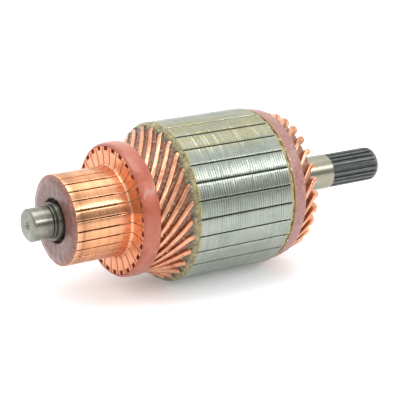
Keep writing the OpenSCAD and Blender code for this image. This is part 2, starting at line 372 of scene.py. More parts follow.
def m_core():
    s = Mat("laminated_steel")
    lam = s.noise((1.6, 0.02, 0.02), 1.0, 5, 0.8)
    blot = s.noise((0.07, 0.10, 0.10), 1.0, 5, 0.6)
    fine = s.noise((1.2, 2.2, 2.2), 1.0, 6, 0.75)
    scr = s.noise((0.05, 1.4, 1.4), 1.0, 5, 0.7, 0.4)
    ang = s.angle()
    c = s.ramp(blot, [(0.28, (0.29, 0.325, 0.28)), (0.5, (0.37, 0.405, 0.355)), (0.75, (0.43, 0.455, 0.41))])
    c = s.mix(s.ramp(lam, [(0.36, 0.35), (0.5, 0.0)]), c, (0.17, 0.19, 0.165))
    # the joints between the sheets show as fine dark lines, drawn stronger from 150 to 180 degrees round the shaft as
    # painted shade
    wave = s.math("COSINE", s.math("MULTIPLY_ADD", s.x, 2 * PI * 40 / (CX2 - CX), -CX * 2 * PI * 40 / (CX2 - CX)))
    line = s.ramp(s.math("MULTIPLY_ADD", wave, 0.5, 0.5), [(0.62, 0.0), (0.92, 1.0)])
    patch = s.ramp(s.noise((0.30, 0.16, 0.16), 1.0, 4, 0.6), [(0.34, 0.25), (0.62, 0.95)])
    # painted shade: joint lines weighted more heavily on one side of the core
    low = s.math("MULTIPLY_ADD", s.band(ang, 0.5 + 150 / 360, 1.2, 0.05), 0.35, 0.30)
    line = s.math("MULTIPLY", s.math("MULTIPLY", line, patch), low)
    c = s.mix(line, c, (0.06, 0.07, 0.06))
    # varnish left on the upper side and along both ends
    top = s.band(ang, 0.5 + 92 / 360, 0.5 + 129 / 360, 0.03)
    var = s.noise((0.06, 0.35, 0.35), 1.0, 6, 0.7, 0.6)
    var = s.math("MULTIPLY", top, s.ramp(var, [(0.34, 0.1), (0.56, 0.7)]))
    rag = s.math("MULTIPLY_ADD", s.noise((0.4, 0.6, 0.6), 1.0, 6, 0.75), 3.4, -1.7)
    xr = s.math("ADD", s.x, rag)
    ends = s.math("ADD", s.band(xr, 44, 48.9, 0.35), s.band(xr, 89.2, 93, 0.35))
    ends = s.math("MULTIPLY", ends, 0.85)
    var = s.math("MAXIMUM", var, ends)
    c = s.mix(var, c, s.mix(s.ramp(fine, [(0.4, 0.0), (0.6, 1.0)]), (0.47, 0.42, 0.22), (0.26, 0.24, 0.11)))
    c = s.mix(s.ramp(scr, [(0.60, 0.0), (0.72, 0.4)]), c, (0.60, 0.63, 0.57))
    r = s.ramp(fine, [(0.3, 0.24), (0.7, 0.42)])
    b = s.bump(lam, 0.5, 0.05)
    b = s.bump(fine, 0.38, 0.035, b)
    s.turned(0.45)
    return s.set(Base_Color=c, Metallic=s.math("MULTIPLY_ADD", ends, -0.7, 0.97), Roughness=r, Normal=b).m


def m_copper(name, base, dark, rough=(0.24, 0.40), stain=0.35):
    s = Mat(name)
    blot = s.noise((0.22, 0.35, 0.35), 1.0, 5, 0.65)
    fine = s.noise((1.3, 1.3, 1.3), 1.0, 6, 0.7)
    c = s.ramp(blot, [(0.30, dark), (0.52, base), (0.78, tuple(min(1, v * 1.12) for v in base))])
    c = s.mix(s.ramp(fine, [(0.52, 0.0), (0.75, stain)]), c, tuple(v * 0.45 for v in base))
    r = s.ramp(fine, [(0.3, rough[0]), (0.7, rough[1])])
    b = s.bump(fine, 0.22, 0.05)
    return s.set(Base_Color=c, Metallic=1.0, Roughness=r, Normal=b).m


def m_commutator():
    s = Mat("turned_copper")
    turn = s.noise((3.2, 0.03, 0.03), 1.0, 6, 0.8)
    turn2 = s.noise((0.7, 0.02, 0.02), 1.0, 3, 0.6)
    along = s.noise((0.05, 0.9, 0.9), 1.0, 5, 0.75)
    fine = s.noise((1.4, 1.4, 1.4), 1.0, 6, 0.75)
    rad = s.radius()
    base = s.ramp(turn2, [(0.3, (0.74, 0.345, 0.17)), (0.55, (0.84, 0.43, 0.235)), (0.8, (0.88, 0.50, 0.30))])
    c = s.mix(s.ramp(along, [(0.48, 0.0), (0.74, 0.5)]), base, (0.46, 0.21, 0.10))
    # scuffed start of the brush track, brown with dark rings
    on = s.math("LESS_THAN", rad, 18.0)
    worn = s.band(s.x, 5.2, 9.6, 1.6)
    worn = s.math("MULTIPLY", worn, s.ramp(turn, [(0.42, 0.1), (0.58, 0.7)]))
    c = s.mix(s.math("MULTIPLY", worn, on), c, (0.30, 0.16, 0.085))
    worn2 = s.math("MULTIPLY", s.band(s.x, 11.0, 21.5, 3.5), s.ramp(turn, [(0.5, 0.0), (0.68, 0.5)]))
    c = s.mix(s.math("MULTIPLY", worn2, on), c, (0.38, 0.19, 0.095))
    # brighter and smoother next to the risers
    smooth = s.math("MULTIPLY", s.band(s.x, 21.8, 40, 0.8), 0.5)
    c = s.mix(smooth, c, (0.86, 0.43, 0.25))
    r = s.ramp(fine, [(0.3, 0.17), (0.7, 0.33)])
    b = s.bump(turn, 0.35, 0.04)
    b = s.bump(fine, 0.12, 0.03, b)
    s.turned(0.75)
    return s.set(Base_Color=c, Metallic=1.0, Roughness=r, Normal=b).m


def m_riser():
    s = Mat("riser_copper")
    ang = s.angle()
    rad = s.radius()
    v = s.combine(s.math("MULTIPLY", rad, 0.10), s.math("MULTIPLY", ang, 150.0), 0.0)
    radial = s.noise(vec=v, scale=1.0, detail=6, rough=0.8, dist=0.3)
    blot = s.noise((0.3, 0.3, 0.3), 1.0, 5, 0.65)
    fine = s.noise((1.6, 1.6, 1.6), 1.0, 6, 0.75)
    base = s.ramp(blot, [(0.3, (0.76, 0.285, 0.135)), (0.55, (0.86, 0.38, 0.21)), (0.8, (0.90, 0.48, 0.31))])
    c = s.mix(s.ramp(radial, [(0.52, 0.0), (0.70, 0.55)]), base, (0.42, 0.15, 0.07))
    rim = s.math("MULTIPLY", s.band(rad, 22.9, 26, 1.0), s.ramp(fine, [(0.42, 0.0), (0.62, 0.6)]))
    c = s.mix(rim, c, (0.26, 0.09, 0.04))
    r = s.ramp(fine, [(0.3, 0.24), (0.7, 0.42)])
    b = s.bump(radial, 0.25, 0.04)
    b = s.bump(fine, 0.25, 0.05, b)
    s.turned(0.7)
    return s.set(Base_Color=c, Metallic=1.0, Roughness=r, Normal=b).m


def m_resin(name, base, dark, light, rough=0.30, coat=0.4, gs=0.35, bump=0.25, fibre=None, turned=0.0):
    s = Mat(name)
    blot = s.noise((gs, gs, gs), 1.0, 5, 0.65)
    fine = s.noise((2.2, 2.2, 2.2), 1.0, 5, 0.7)
    c = s.ramp(blot, [(0.3, dark), (0.52, base), (0.75, light)])
    h = fine
    if fibre:
        fib = s.noise(fibre, 1.0, 5, 0.75)
        c = s.mix(s.ramp(fib, [(0.45, 0.0), (0.7, 0.5)]), c, dark)
        h = s.math("MULTIPLY_ADD", fib, 1.5, fine)
    r = s.ramp(fine, [(0.3, rough * 0.8), (0.7, rough * 1.35)])
    b = s.bump(h, bump, 0.08)
    s.set(Base_Color=c, Metallic=0.0, Roughness=r, Normal=b)
    s.p.inputs["Coat Weight"].default_value = coat
    s.p.inputs["Coat Roughness"].default_value = 0.18
    if turned:
        s.turned(turned)
    return s.m


def m_rear_band():
    s = Mat("rear_binding")
    ang = s.angle()
    v = s.combine(s.math("MULTIPLY", s.x, 1.3), s.math("MULTIPLY", ang, 60.0), 0.0)
    fib = s.noise(vec=v, scale=1.0, detail=5, rough=0.75)
    spk = s.noise((1.1, 1.1, 1.1), 1.0, 5, 0.75)
    c = s.ramp(fib, [(0.30, (0.19, 0.075, 0.060)), (0.5, (0.335, 0.150, 0.130)), (0.72, (0.43, 0.225, 0.20))])
    c = s.mix(s.ramp(spk, [(0.55, 0.0), (0.66, 0.8)]), c, (0.56, 0.37, 0.33))
    c = s.mix(s.ramp(spk, [(0.28, 0.7), (0.42, 0.0)]), c, (0.13, 0.045, 0.04))
    left = s.math("MULTIPLY", s.band(s.x, 90.0, 92.2, 0.6), s.ramp(spk, [(0.35, 0.3), (0.6, 0.9)]))
    c = s.mix(left, c, (0.40, 0.25, 0.12))
    r = s.ramp(spk, [(0.3, 0.32), (0.7, 0.55)])
    b = s.bump(s.math("ADD", fib, spk), 0.5, 0.12)
    s.set(Base_Color=c, Metallic=0.0, Roughness=r, Normal=b)
    s.p.inputs["Coat Weight"].default_value = 0.25
    s.p.inputs["Coat Roughness"].default_value = 0.25
    return s.m


def m_fill():
    """Varnish and paper between the bars: dark, lumpy, with runs that follow the bars."""
    s = Mat("winding_varnish")
    ang = s.angle()
    v = s.combine(s.math("MULTIPLY_ADD", ang, 110.0 * 3.0, s.math("MULTIPLY", s.x, 3.0 * 110.0 * 3.2 / 360.0)), s.math("MULTIPLY", s.x, 0.12), 0.0)
    runs = s.noise(vec=v, scale=1.0, detail=4, rough=0.65)
    blot = s.noise((0.5, 0.5, 0.5), 1.0, 5, 0.7, 0.3)
    fine = s.noise((2.4, 2.4, 2.4), 1.0, 5, 0.75)
    c = s.ramp(blot, [(0.30, (0.05, 0.024, 0.012)), (0.48, (0.16, 0.072, 0.036)), (0.60, (0.30, 0.125, 0.060)), (0.78, (0.38, 0.20, 0.11))])
    c = s.mix(s.ramp(runs, [(0.42, 0.0), (0.62, 0.75)]), c, (0.45, 0.185, 0.095))
    c = s.mix(s.ramp(fine, [(0.56, 0.0), (0.70, 0.6)]), c, (0.045, 0.025, 0.015))
    r = s.ramp(fine, [(0.3, 0.22), (0.7, 0.5)])
    b = s.bump(s.math("ADD", runs, fine), 0.55, 0.18)
    s.set(Base_Color=c, Metallic=0.0, Roughness=r, Normal=b)
    s.p.inputs["Coat Weight"].default_value = 0.5
    s.p.inputs["Coat Roughness"].default_value = 0.15
    return s.m


def m_glint():
    s = Mat("varnish_drops")
    n = s.noise((1.0, 1.0, 1.0), 1.0, 3, 0.6)
    c = s.ramp(n, [(0.35, (0.55, 0.36, 0.20)), (0.6, (0.80, 0.66, 0.48))])
    s.set(Base_Color=c, Metallic=0.0, Roughness=0.08, Normal=s.bump(n, 0.2, 0.05))
    s.p.inputs["Coat Weight"].default_value = 1.0
    s.p.inputs["Coat Roughness"].default_value = 0.04
    return s.m


def m_insul(name="olive_insulation"):
    s = Mat(name)
    blot = s.noise((0.45, 0.5, 0.5), 1.0, 6, 0.7, 0.5)
    fine = s.noise((2.0, 2.0, 2.0), 1.0, 6, 0.75)
    c = s.ramp(blot, [(0.30, (0.07, 0.06, 0.035)), (0.45, (0.24, 0.205, 0.09)), (0.6, (0.42, 0.36, 0.15)), (0.78, (0.52, 0.46, 0.24))])
    c = s.mix(s.ramp(fine, [(0.52, 0.0), (0.68, 0.65)]), c, (0.09, 0.075, 0.045))
    # painted shade: darker and greyer among the roots of the bars in front
    dark = s.math("MULTIPLY", s.band(s.x, 40.0, 46.7, 0.9), s.ramp(s.noise((0.3, 0.4, 0.4), 1.0, 5, 0.7), [(0.40, 0.25), (0.56, 0.95)]))
    c = s.mix(dark, c, s.ramp(fine, [(0.3, (0.035, 0.035, 0.03)), (0.62, (0.16, 0.15, 0.125))]))
    r = s.ramp(fine, [(0.3, 0.25), (0.7, 0.6)])
    b = s.bump(fine, 0.5, 0.15)
    s.set(Base_Color=c, Metallic=0.0, Roughness=r, Normal=b)
    s.p.inputs["Coat Weight"].default_value = 0.6
    s.p.inputs["Coat Roughness"].default_value = 0.12
    return s.m


def m_plain(name, dark, base, light, rough=0.5, metallic=0.0, sc=(0.5, 0.5, 0.5), coat=0.0):
    s = Mat(name)
    blot = s.noise(sc, 1.0, 5, 0.65)
    fine = s.noise((2.5, 2.5, 2.5), 1.0, 5, 0.7)
    c = s.ramp(blot, [(0.3, dark), (0.5, base), (0.72, light)])
    r = s.ramp(fine, [(0.3, rough * 0.8), (0.7, min(1.0, rough * 1.3))])
    b = s.bump(fine, 0.3, 0.06)
    s.set(Base_Color=c, Metallic=metallic, Roughness=r, Normal=b)
    s.p.inputs["Coat Weight"].default_value = coat
    return s.m


SHAFT, TEETH, CORE = m_shaft(), m_teeth(), m_core()
BARS = m_copper("winding_copper", (0.80, 0.405, 0.25), (0.50, 0.20, 0.10), (0.22, 0.40), 0.55)
TRACKM, RISERM = m_commutator(), m_riser()
FBAND = m_resin("front_binding", (0.46, 0.112, 0.055), (0.34, 0.065, 0.03), (0.54, 0.16, 0.09), 0.30, 0.5, 0.25, 0.2, (0.02, 0.02, 0.02))
RBAND = m_rear_band()
MOULD = m_resin("moulding_resin", (0.20, 0.085, 0.070), (0.14, 0.050, 0.040), (0.27, 0.13, 0.11), 0.30, 0.3, 0.5, 0.3, None, 0.8)
BEVEL = m_resin("moulding_bevel", (0.25, 0.075, 0.045), (0.12, 0.025, 0.016), (0.36, 0.15, 0.09), 0.28, 0.4, 0.5, 0.3, None, 0.6)
INSUL = m_insul()
# painted shade: the slot liners and separators are coloured near-black so the slot mouths read dark
LINER_PAINTED_SHADE = m_plain("slot_liner", (0.018, 0.018, 0.012), (0.05, 0.05, 0.032), (0.12, 0.115, 0.07), 0.5)
FILL = m_fill()
# painted shade: a dark copy of the mica for the tops of the undercut separators
MICA = m_plain("undercut_mica_painted_shade", (0.035, 0.016, 0.009), (0.085, 0.038, 0.020), (0.15, 0.07, 0.04), 0.6)
MICA2 = m_plain("flush_mica", (0.16, 0.05, 0.025), (0.30, 0.11, 0.055), (0.42, 0.18, 0.10), 0.5)
GLINT = m_glint()
BUSH = m_plain("bush_steel", (0.16, 0.16, 0.15), (0.28, 0.28, 0.26), (0.36, 0.36, 0.34), 0.4, 0.9)
GLASSF = m_plain("ring_fibre", (0.42, 0.36, 0.22), (0.58, 0.52, 0.36), (0.68, 0.62, 0.46), 0.5)
SLEEVE = m_plain("sleeve_paper", (0.14, 0.085, 0.045), (0.23, 0.15, 0.08), (0.31, 0.21, 0.12), 0.5, 0.0, (0.5, 0.5, 0.5), 0.3)

# ------------------------------------------------------------------ shaft
TN, TH, DR, JR, TR = 20, 0.75, 7.05, 6.25, 6.85
prof = [(-7.6, 1.62), (-7.6, 5.55), (-7.56, 5.68), (-7.22, 6.12), (-7.1, 6.22), (-6.95, JR),
        (-2, JR), (0.15, JR), (0.22, 5.98), (0.45, 5.95), (0.5, 6.1), (0.5, 6.66), (0.6, 6.80), (0.75, 6.85), (1.1, 6.85),
        (1.25, 6.80), (1.35, 6.66), (1.37, 6.57), (1.8, 6.55), (1.86, 6.7), (1.9, 7.12), (2.0, 7.25), (2.15, 7.3), (6.5, 7.3),
        (6.5, 7.6), (30.6, 7.6), (30.6, 8.4), (47.2, 8.4), (47.2, 9.0), (90.6, 9.0), (90.6, 8.4), (101.7, 8.4), (102.7, DR),
        (110, DR), (120, DR), (127.6, DR)]
NT = TN * 14
th = np.arange(NT) * 360.0 / NT
ph = ((th * TN / 360.0 + 0.5) % 1.0) - 0.5
g = np.clip((np.abs(ph) - 0.17) / 0.20, 0, 1)
g = g * g * (3 - 2 * g)


def tooth_ring(x, depth, cap, top=TR):
    return polar(x, np.minimum(cap, top - TH * depth * g), th)


V, F, MI = [], [], []
rows = [polar(x + 0 * th, r + 0 * th, th) for x, r in prof]
rows.append(polar(128.1 + 0 * th, DR + 0 * th, th))
for x, d in ((128.2, 0.0), (128.28, 0.25), (128.4, 0.6), (128.7, 0.9), (129.1, 1.0), (132, 1.0), (138, 1.0), (144, 1.0), (149.6, 1.0)):
    rows.append(tooth_ring(x, d, TR))
for x, cap in ((150.3, TR - 0.06), (150.8, TR - 0.20), (151.25, TR - 0.48), (151.55, TR - 0.75), (151.7, TR - 1.05)):
    rows.append(tooth_ring(x, 1.0, cap))
rows.append(polar(151.7 + 0 * th, 1.62 + 0 * th, th))
hole = [(1.62, 0.0), (1.5, 0.15), (0.8, 1.35), (0.8, 3.6), (0.01, 4.1)]
front_hole = [polar(-7.6 + d + 0 * th, r + 0 * th, th) for r, d in hole[1:]][::-1]
rear_hole = [polar(151.7 - d + 0 * th, r + 0 * th, th) for r, d in hole[1:]]
rows = front_hole + rows + rear_hole
V = np.concatenate(rows)
F = grid_faces(len(rows), NT)
first_tooth = len(front_hole) + len(prof)
MI = [1 if (k // NT) >= first_tooth else 0 for k in range(len(F))]
F.append(tuple(range(NT - 1, -1, -1)))
F.append(tuple((len(rows) - 1) * NT + j for j in range(NT)))
MI += [0, 1]
shaft = new_mesh("armature_shaft", V, F, [SHAFT, TEETH], MI, 30)
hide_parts("shaft")

# ------------------------------------------------------------------ core
sheets = 40
tsh = (CX2 - CX) / sheets
mouth = math.degrees(math.asin(0.27 / CR))
cols = []
half = PITCH / 2
edge = half - mouth
tooth_cols = [-edge, -edge + 0.25, -edge + 0.7, -edge * 0.62, -edge * 0.31, 0, edge * 0.31, edge * 0.62, edge - 0.7, edge - 0.25, edge]
tooth_in = [0.22, 0.05, 0.0, 0, 0, 0, 0, 0, 0.0, 0.05, 0.22]
lam_x, lam_d = [CX], [0.10]
for i in range(sheets):
    a = CX + i * tsh
    d = abs(rng.normal(0, 0.022))
    lam_x += [a + 0.10, a + tsh - 0.10]
    lam_d += [d, d + rng.uniform(-0.008, 0.008)]
    if i < sheets - 1:
        lam_x.append(a + tsh)
        lam_d.append(0.075 + abs(rng.normal(0, 0.02)))
lam_x.append(CX2)
lam_d.append(0.10)
lam_x, lam_d = np.array(lam_x), np.array(lam_d)
loop_r, loop_t, loop_out = [], [], []
for k in range(N):
    c = CLOCK + (k + 0.5) * PITCH
    for a, d in zip(tooth_cols, tooth_in):
        loop_r.append(CR - d)
        loop_t.append(c + a)
        loop_out.append(1)
    s0 = CLOCK + (k + 1) * PITCH
    for (rr, w) in ((30.35, 0.27), (29.98, 0.27), (29.98, 1.17), (22.6, 1.17)):
        loop_r.append(math.hypot(rr, w))
        loop_t.append(s0 - math.degrees(math.atan2(w, rr)))
        loop_out.append(0)
    for (rr, w) in ((22.6, 1.17), (29.98, 1.17), (29.98, 0.27), (30.35, 0.27)):
        loop_r.append(math.hypot(rr, w))
        loop_t.append(s0 + math.degrees(math.atan2(w, rr)))
        loop_out.append(0)
loop_r, loop_t, loop_out = map(np.array, (loop_r, loop_t, loop_out))
M = len(loop_r)
wav = waves(11, 10, 0.9, 40)
V = []
for x, d in zip(lam_x, lam_d):
    rr = loop_r - loop_out * (d + 0.010 * wav(x, loop_t))
    V.append(polar(x + 0 * rr, rr, loop_t))
nb = N * 2
bore_t = CLOCK + PITCH / 2 + np.arange(nb) * 360 / nb
b0 = len(lam_x) * M
for x in (CX, CX2):
    V.append(polar(x + 0 * bore_t, 9.0 + 0 * bore_t, bore_t))
V = np.concatenate(V)
F = [(a, d_, c_, b_) for a, b_, c_, d_ in grid_faces(len(lam_x), M)]
F = [f[::-1] for f in F]
per = M // N
for e, row in ((0, 0), (1, len(lam_x) - 1)):
    for k in range(N):
        outer = [row * M + (k * per + 5 + j) % M for j in range(per + 1)]
        inner = [b0 + e * nb + (2 * k + j) % nb for j in range(3)]
        poly = outer + inner[::-1]
        F.append(tuple(poly if e else poly[::-1]))
for j in range(nb):
    j2 = (j + 1) % nb
    F.append((b0 + j, b0 + j2, b0 + nb + j2, b0 + nb + j))
core = new_mesh("laminated_core", V, F, [CORE], None, 30)
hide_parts("core_laminations")

# ------------------------------------------------------------------ hairpins
sec = rounded(BW, BH, 0.38, 4)
Vall, Fall = [], []
bars = []
for k in range(N):
    g1 = np.random.default_rng(100 + k)
    bow, lift, bow2, lift2, n1 = g1.normal(0, 0.28), g1.normal(0, 0.07), g1.normal(0, 0.35), g1.normal(0, 0.08), g1.normal(0, 0.25)
    st = []
    base = CLOCK + k * PITCH
    L = BEND - END
    st.append((RX + 1.35, TIP - BH / 2, base + SWEEP, 0, 1, 1))
    us = [1.03, 1.0, 0.975, 0.95, 0.92, 0.88] + list(np.linspace(0.82, 0.16, 14)) + [0.12, 0.09, 0.06, 0.035, 0.015, 0]
    for u in us:
        x = BEND - u * L
        e = math.sin(PI * min(1, max(0, u)))
        st.append((x, front_r(x) - BH / 2 + lift * e, base + SWEEP * sweep(BEND - x, L, 2.4, 1.2) + bow * e, 0, 1, 1))
    RL = NOSEX - TURN
    rp = 2 * PITCH - NOSEA / 2
    vs = [0, 0.03, 0.07, 0.12, 0.18] + list(np.linspace(0.27, 1.0, 10))
    for u in vs:
        x = TURN + u * RL
        e = math.sin(PI * u)
        st.append((x, rear_r(x) - BH / 2 + lift2 * e, base - rp * sweep(x - TURN, RL, 1.5, 0.01) + bow2 * e, 0, 1, 1))
    step = BH + GAP
    for f in np.linspace(0, 180, 15)[1:-1]:
        fr = math.radians(f)
        st.append((NOSEX + (NOSEC + n1 * 0.25) * math.sin(fr), rear_r(NOSEX) - BH / 2 - step / 2 + step / 2 * math.cos(fr),
                   base - rp - NOSEA * f / 180, f, 1, 1))
    for u in vs[::-1]:
        x = TURN + u * RL
        e = math.sin(PI * u)
        st.append((x, rear_r(x) - BH / 2 - step, base - 4 * PITCH + rp * sweep(x - TURN, RL, 1.5, 0.01) - bow2 * e, 180, 1, 1))
    for u in us[::-1]:
        x = BEND - u * L
        st.append((x, front_r(x) - BH / 2 - step, base - 4 * PITCH - LOWER * sweep(BEND - x, L, 2.4, 1.2), 180, 1, 1))
    st.append((RX + 1.35, TIP - BH / 2 - step, base - 4 * PITCH - LOWER, 180, 1, 1))
    v, f = sweep_path(st, sec)
    o = sum(len(a) for a in Vall)
    Vall.append(v)
    Fall += [tuple(i + o for i in q) for q in f]
hair = new_mesh("winding_hairpins", np.concatenate(Vall), Fall, [BARS], None, 50)
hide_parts("hairpin_bars")

# ------------------------------------------------------------------ commutator
outer = [(4.1, 15.2), (4.1, 16.6), (4.1, 17.12), (4.16, 17.24), (4.3, 17.3)]
outer += [(x, 17.3) for x in (6, 9, 13, 17, 21, 24, 26.3)]
outer += [(26.2, 17.34), (26.6, 17.48), (26.9, 17.74), (27.1, 18.15), (27.19, 18.75), (27.2, 20.0), (27.2, 21.4), (27.2, 22.4)]
side_tail = [(27.2, 23.35), (27.2, 23.9), (27.2, 24.3), (27.25, 24.5), (27.42, 24.6), (28.4, 24.6), (30.0, 24.6), (31.0, 24.6), (31.0, 15.2)]
notch_tail = [(27.2, 22.95), (27.30, 23.12), (27.8, 23.22), (28.2, 23.28), (28.38, 23.45), (28.42, 24.58), (30.0, 24.6), (31.0, 24.6), (31.0, 15.2)]
inner_tail = []
under = [(24, 14.6), (26.4, 11.8), (7.6, 11.8), (10, 14.6)]
side = np.array(outer + side_tail + under)
notch = np.array(outer + notch_tail + under)
nm = len(side)
nrm = np.zeros_like(side)
for i in range(nm - 4):
    a, b = side[max(0, i - 1)], side[min(nm - 5, i + 1)]
    d = b - a
    d = d / max(1e-9, np.linalg.norm(d))
    nrm[i] = (-d[1], d[0])
nrm[0] = (-1, 0)
Vall, Fall, MIall = [], [], []
for k in range(N):
    g1 = np.random.default_rng(300 + k)
    c = COMM + k * PITCH
    ins = g1.normal(0, 0.02)
    jit = abs(g1.normal(0, 0.02))
    cw = 1.12 + g1.normal(0, 0.09)
    colsd = [("e", 0.0, 0.16), ("e", 0.05, 0.05), ("e", 0.16, 0.0), ("f", 0.62, 0), ("n", 1.0, 0), ("m", 1.0, 0), ("m", 0.5, 0), ("m", 0.0, 0)]
    colsd = [(a, b, d, -1) for a, b, d in colsd] + [(a, b, d, 1) for a, b, d in colsd[::-1][1:]]
    cols_v = []
    for kind, v, d, sg in colsd:
        P = (notch if kind == "m" else side).copy()
        P = P - nrm * d
        P[:20, 1] -= ins
        r = P[:, 1]
        gh = np.interp(P[:, 0], [21.3, 22.3], [0.20, 0.085]) + jit
        if kind == "e":
            off = r * math.radians(half) - gh - v * np.interp(P[:, 0], [21.3, 22.3], [1.0, 0.5])
        elif kind == "f":
            off = (r * math.radians(half) - 0.45) * 0.5 + 0.5 * (cw + 0.1)
        elif kind == "n":
            off = np.full(nm, cw + 0.02)
        else:
            off = np.full(nm, cw * v)
        off = np.minimum(off, r * math.radians(half) - gh)
        t = c + sg * np.degrees(off / r)
        cols_v.append(polar(P[:, 0], r, t))
    o = sum(len(a) for a in Vall)
    nc = len(cols_v)
    Vall.append(np.concatenate(cols_v))
    for i in range(nc - 1):
        for j in range(nm):
            j2 = (j + 1) % nm
            Fall.append((o + i * nm + j, o + i * nm + j2, o + (i + 1) * nm + j2, o + (i + 1) * nm + j))
            MIall.append(1 if 14 <= j <= nm - 6 else 0)
    Fall.append(tuple(o + j for j in range(nm - 1, -1, -1)))
    Fall.append(tuple(o + (nc - 1) * nm + j for j in range(nm)))
    MIall += [0, 0]
comm = new_mesh("commutator_segments", np.concatenate(Vall), Fall, [TRACKM, RISERM], MIall, 40)
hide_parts("commutator_bars")

# separators: undercut along the track, where their tops take a dark painted shade; flush next to the risers
mpoly = [(4.15, 16.6), (21.4, 16.6), (22.2, 17.24), (26.2, 17.26), (26.7, 17.5), (27.0, 18.0), (27.13, 18.8), (27.14, 24.0),
         (31.0, 24.1), (31.0, 15.2), (24, 14.6), (26.4, 11.8), (7.6, 11.8), (10, 14.6), (4.15, 15.2)]
Vall, Fall, MIall = [], [], []
for k in range(N):
    t = math.radians(COMM + (k + 0.5) * PITCH)
    g1 = np.random.default_rng(500 + k)
    o = k * 2 * len(mpoly)
    for w in (-0.22, 0.22):
        for x, r in mpoly:
            rr = r + (g1.normal(0, 0.03) if r in (16.6,) else 0)
            Vall.append((x, rr * math.cos(t) - w * math.sin(t), rr * math.sin(t) + w * math.cos(t)))
    n = len(mpoly)
    Fall.append(tuple(o + i for i in range(n)))
    Fall.append(tuple(o + n + i for i in range(n - 1, -1, -1)))
    MIall += [1, 1]
    for i in range(n):
        i2 = (i + 1) % n
        Fall.append((o + i2, o + i, o + n + i, o + n + i2))
        # faces 0 and 14 take the painted-shade mica
        MIall.append(0 if i in (0, 14) else 1)
mica = new_mesh("separator_plates", Vall, Fall, [MICA, MICA2], MIall, 30)
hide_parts("mica_separators")

# moulding: face, bevel and bore
mp = [(6.4, 8.62), (3.75, 8.62), (3.5, 8.75), (3.4, 9.0), (3.38, 10.5), (3.4, 12.5), (3.42, 14.3), (3.5, 14.75), (3.62, 15.05),
      (3.85, 16.0), (3.98, 16.7), (4.02, 17.0), (4.1, 17.12), (4.6, 17.1), (4.6, 15.0), (30.6, 15.0), (30.6, 8.62)]
wm = waves(5, 10, 0.5, 14)


def mould_wob(i, x, r, t):
    if 2 <= i <= 12:
        return 0.05 * wm(r, t), 0.03 * wm(r + 7, t)
    return 0, 0


mould = ring_body("moulded_hub", mp, 224, [MOULD, BEVEL], mould_wob, True, 35, lambda i: 1 if 8 <= i <= 12 else 0)
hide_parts("commutator_moulding")

# ------------------------------------------------------------------ bands
wf = waves(21, 12, 0.8, 9)
fb = [(31.8, 24.66), (27.5, 24.58), (27.38, 24.75), (27.36, 24.98), (27.44, 25.22), (27.62, 25.44), (27.95, 25.62), (28.4, 25.76), (29.0, 25.86),
      (29.8, 25.92), (30.7, 25.95), (31.6, 25.95), (32.4, 25.93), (33.1, 25.88), (33.7, 25.80), (34.15, 25.64), (34.4, 25.42), (34.42, 25.28), (34.3, 25.16), (33.0, 24.95)]


def fb_wob(i, x, r, t):
    if 2 <= i <= 17:
        return 0.05 * wf(x, t), 0.03 * wf(x + 9, t) - 0.03
    return 0, 0


fband = ring_body("front_binding", fb, 288, [FBAND], fb_wob, True, 60, None)
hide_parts("front_binding_band")

wr = waves(31, 14, 1.6, 60)
wr2 = waves(32, 8, 0.3, 6)
rb = [(91.5, 29.62), (91.45, 30.0), (91.5, 30.3), (91.7, 30.42), (92.4, 30.42), (93.2, 30.3), (94.0, 30.18), (94.8, 30.02), (95.6, 29.86),
      (96.4, 29.68), (97.0, 29.5), (97.3, 29.3), (97.4, 29.0), (97.4, 28.75), (95.4, 29.0), (93.5, 29.4)]


def rb_wob(i, x, r, t):
    if 1 <= i <= 12:
        return 0.07 * wr2(x, t), 0.035 * wr(x, t) + 0.03 * wr2(x, t) - 0.03
    return 0, 0


rband = ring_body("rear_binding", rb, 360, [RBAND], rb_wob, True, 60, None)
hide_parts("rear_binding_band")

